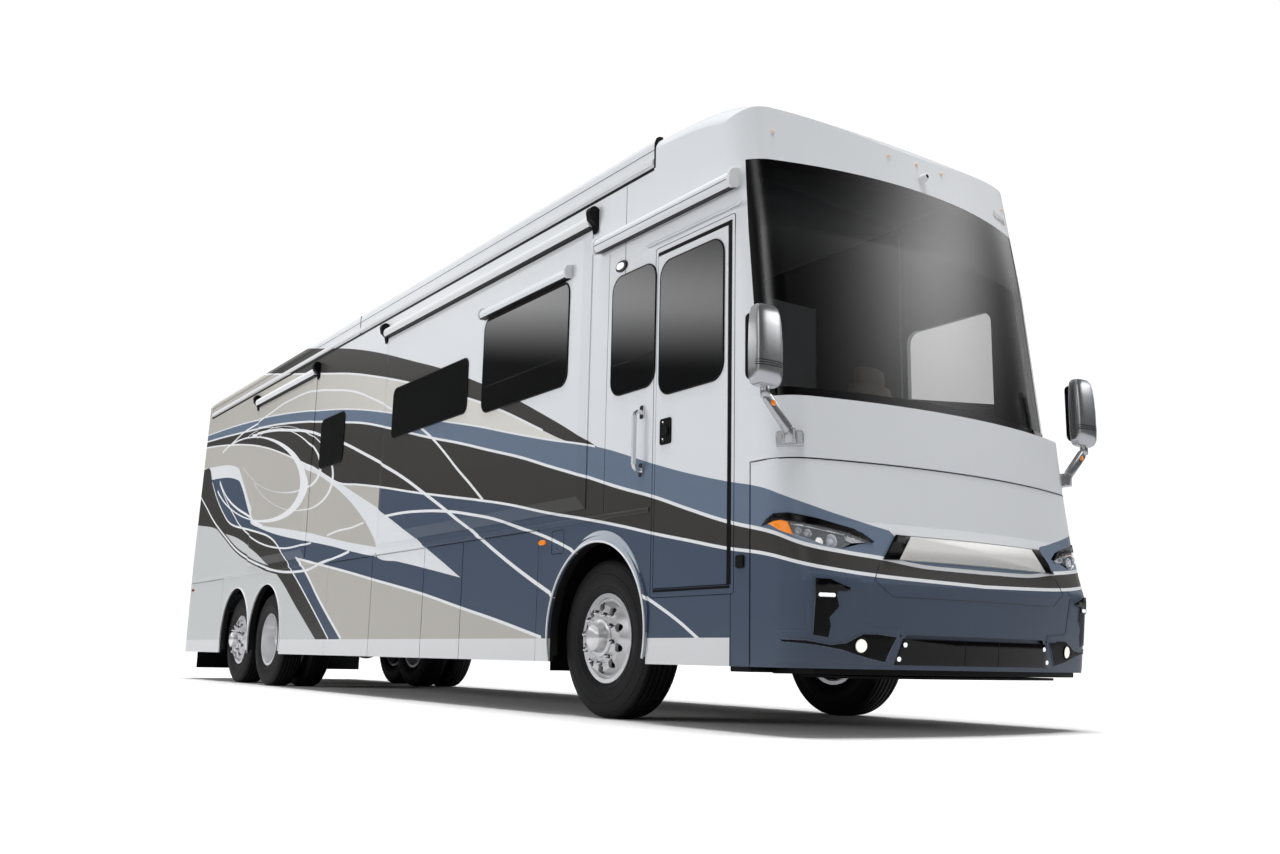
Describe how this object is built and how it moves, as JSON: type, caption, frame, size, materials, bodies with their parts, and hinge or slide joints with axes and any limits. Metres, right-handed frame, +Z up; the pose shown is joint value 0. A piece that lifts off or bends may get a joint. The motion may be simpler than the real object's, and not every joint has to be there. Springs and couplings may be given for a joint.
{
  "type": "motorhome",
  "caption": "Rear-engined motorhome with slide-out rooms, opening entry and baggage doors, steered front wheels, a twin-wheel drive axle, a tag axle and a sliding nose.",
  "frame": {"origin": "ground plane, middle of the whole vehicle in length and width", "axes": "+Z up, +Y towards the vehicle's rear, +X towards the vehicle's left"},
  "size_m": [3.046, 13.1628, 4.1198],
  "materials": {
    "body_paint": "gloss",
    "chassis_steel": "satin black",
    "engine_paint": "satin",
    "alloy": "polished",
    "tyre_rubber": "matt",
    "tinted_glass": "gloss",
    "lamp_lens": "gloss",
    "tail_lens": "gloss",
    "mirror_chrome": "gloss",
    "black_plastic": "satin",
    "white_plastic": "satin",
    "floor_board": "satin",
    "seat_leather": "satin",
    "axle_iron": "satin"
  },
  "bodies": {
    "coach": {"air_conditioners": "white_plastic", "awnings": "white_plastic", "basement": "chassis_steel", "cab_seats": "seat_leather", "cabin_floor": "floor_board", "chassis_frame": "chassis_steel", "cross_members": "chassis_steel", "dashboard": "black_plastic", "drive_axle": "axle_iron", "engine": "engine_paint", "fixed_glass": "tinted_glass", "front_axle": "axle_iron", "front_cap": "body_paint", "hitch_receiver": "chassis_steel", "mirrors": "mirror_chrome", "mud_flaps": "black_plastic", "rear_cap": "body_paint", "roof": "body_paint", "skirt_left": "body_paint", "skirt_right": "body_paint", "tag_axle": "axle_iron", "tail_lamps": "tail_lens", "toppers": "white_plastic", "wall_left": "body_paint", "wall_right": "body_paint", "windscreen": "tinted_glass"},
    "nose_body": {"nose": "body_paint", "headlamps": "lamp_lens", "generator": "engine_paint"},
    "entry_door_body": {"entry_door": "body_paint", "entry_door_glass": "tinted_glass"},
    "slide_right_front_body": {"slide_right_front": "body_paint", "slide_glass_right": "tinted_glass"},
    "slide_right_rear_body": {"slide_right_rear": "body_paint"},
    "slide_left_body": {"slide_left": "body_paint", "slide_glass_left": "tinted_glass"},
    "engine_lid_body": {"engine_lid": "body_paint"},
    "knuckle_right_body": {"knuckle_right": "axle_iron"},
    "knuckle_left_body": {"knuckle_left": "axle_iron"},
    "wheel_front_right": {"rim_front_right": "alloy", "tyre_front_right": "tyre_rubber"},
    "wheel_front_left": {"rim_front_left": "alloy", "tyre_front_left": "tyre_rubber"},
    "wheels_drive_right": {"rims_drive_right": "alloy", "tyres_drive_right": "tyre_rubber"},
    "wheels_drive_left": {"rims_drive_left": "alloy", "tyres_drive_left": "tyre_rubber"},
    "wheel_tag_right": {"rim_tag_right": "alloy", "tyre_tag_right": "tyre_rubber"},
    "wheel_tag_left": {"rim_tag_left": "alloy", "tyre_tag_left": "tyre_rubber"},
    "bay_door_right_front_body": {"bay_door_right_front": "body_paint"},
    "bay_door_right_second_body": {"bay_door_right_second": "body_paint"},
    "bay_door_right_third_body": {"bay_door_right_third": "body_paint"},
    "bay_door_right_fourth_body": {"bay_door_right_fourth": "body_paint"},
    "bay_door_right_rear_body": {"bay_door_right_rear": "body_paint"},
    "bay_door_left_front_body": {"bay_door_left_front": "body_paint"},
    "bay_door_left_second_body": {"bay_door_left_second": "body_paint"},
    "bay_door_left_rear_body": {"bay_door_left_rear": "body_paint"},
    "steering_wheel_body": {"steering_wheel": "black_plastic"}
  },
  "joints": [
    {"name": "steer_right", "type": "hinge", "parent": "coach", "child": "knuckle_right_body", "pos_m": [-0.85, -4.33, 0.53], "axis": [0, 0, 1], "range_deg": [-40, 40]},
    {"name": "steer_left", "type": "hinge", "parent": "coach", "child": "knuckle_left_body", "pos_m": [0.85, -4.33, 0.53], "axis": [0, 0, 1], "range_deg": [-40, 40]},
    {"name": "front_wheel_right", "type": "hinge", "parent": "knuckle_right_body", "child": "wheel_front_right", "pos_m": [-1.04, -4.33, 0.53], "axis": [1, 0, 0], "continuous": true},
    {"name": "drive_wheels_right", "type": "hinge", "parent": "coach", "child": "wheels_drive_right", "pos_m": [-1.04, 2.905, 0.53], "axis": [1, 0, 0], "continuous": true},
    {"name": "tag_wheel_right", "type": "hinge", "parent": "coach", "child": "wheel_tag_right", "pos_m": [-1.04, 4.215, 0.53], "axis": [1, 0, 0], "continuous": true},
    {"name": "front_wheel_left", "type": "hinge", "parent": "knuckle_left_body", "child": "wheel_front_left", "pos_m": [1.04, -4.33, 0.53], "axis": [1, 0, 0], "continuous": true},
    {"name": "drive_wheels_left", "type": "hinge", "parent": "coach", "child": "wheels_drive_left", "pos_m": [1.04, 2.905, 0.53], "axis": [1, 0, 0], "continuous": true},
    {"name": "tag_wheel_left", "type": "hinge", "parent": "coach", "child": "wheel_tag_left", "pos_m": [1.04, 4.215, 0.53], "axis": [1, 0, 0], "continuous": true},
    {"name": "entry_door_swing", "type": "hinge", "parent": "coach", "child": "entry_door_body", "pos_m": [-1.275, -5.77, 1.9], "axis": [0, 0, 1], "range_deg": [0, 90]},
    {"name": "bay_door_right_front_swing", "type": "hinge", "parent": "coach", "child": "bay_door_right_front_body", "pos_m": [-1.275, -3.554, 0.84], "axis": [0, 0, 1], "range_deg": [0, 90]},
    {"name": "bay_door_right_second_swing", "type": "hinge", "parent": "coach", "child": "bay_door_right_second_body", "pos_m": [-1.275, -2.294, 0.84], "axis": [0, 0, 1], "range_deg": [0, 90]},
    {"name": "bay_door_right_third_swing", "type": "hinge", "parent": "coach", "child": "bay_door_right_third_body", "pos_m": [-1.275, -1.534, 0.84], "axis": [0, 0, 1], "range_deg": [0, 90]},
    {"name": "bay_door_right_fourth_swing", "type": "hinge", "parent": "coach", "child": "bay_door_right_fourth_body", "pos_m": [-1.275, -0.341, 0.84], "axis": [0, 0, 1], "range_deg": [0, 90]},
    {"name": "bay_door_right_rear_swing", "type": "hinge", "parent": "coach", "child": "bay_door_right_rear_body", "pos_m": [-1.275, 4.796, 0.84], "axis": [0, 0, 1], "range_deg": [0, 90]},
    {"name": "bay_door_left_front_swing", "type": "hinge", "parent": "coach", "child": "bay_door_left_front_body", "pos_m": [1.275, -3.554, 0.84], "axis": [0, 0, -1], "range_deg": [0, 90]},
    {"name": "bay_door_left_second_swing", "type": "hinge", "parent": "coach", "child": "bay_door_left_second_body", "pos_m": [1.275, -1.534, 0.84], "axis": [0, 0, -1], "range_deg": [0, 90]},
    {"name": "bay_door_left_rear_swing", "type": "hinge", "parent": "coach", "child": "bay_door_left_rear_body", "pos_m": [1.275, 4.796, 0.84], "axis": [0, 0, -1], "range_deg": [0, 90]},
    {"name": "engine_lid_lift", "type": "hinge", "parent": "coach", "child": "engine_lid_body", "pos_m": [0, 6.58, 1.324], "axis": [1, 0, 0], "range_deg": [0, 80]},
    {"name": "slide_right_front_travel", "type": "slide", "parent": "coach", "child": "slide_right_front_body", "axis": [-1, 0, 0], "range_m": [0, 0.6]},
    {"name": "slide_right_rear_travel", "type": "slide", "parent": "coach", "child": "slide_right_rear_body", "axis": [-1, 0, 0], "range_m": [0, 0.6]},
    {"name": "slide_left_travel", "type": "slide", "parent": "coach", "child": "slide_left_body", "axis": [1, 0, 0], "range_m": [0, 0.6]},
    {"name": "nose_travel", "type": "slide", "parent": "coach", "child": "nose_body", "axis": [0, -1, 0], "range_m": [0, 0.6]},
    {"name": "steering_wheel_turn", "type": "hinge", "parent": "coach", "child": "steering_wheel_body", "pos_m": [0.62, -5.8, 1.93], "axis": [0, 0.5736, 0.8192], "range_deg": [-520, 520]}
  ],
  "couplings": [
    {"joint": "steer_left", "follows": "steer_right", "ratio": 1},
    {"joint": "steering_wheel_turn", "follows": "steer_right", "ratio": 13}
  ]
}
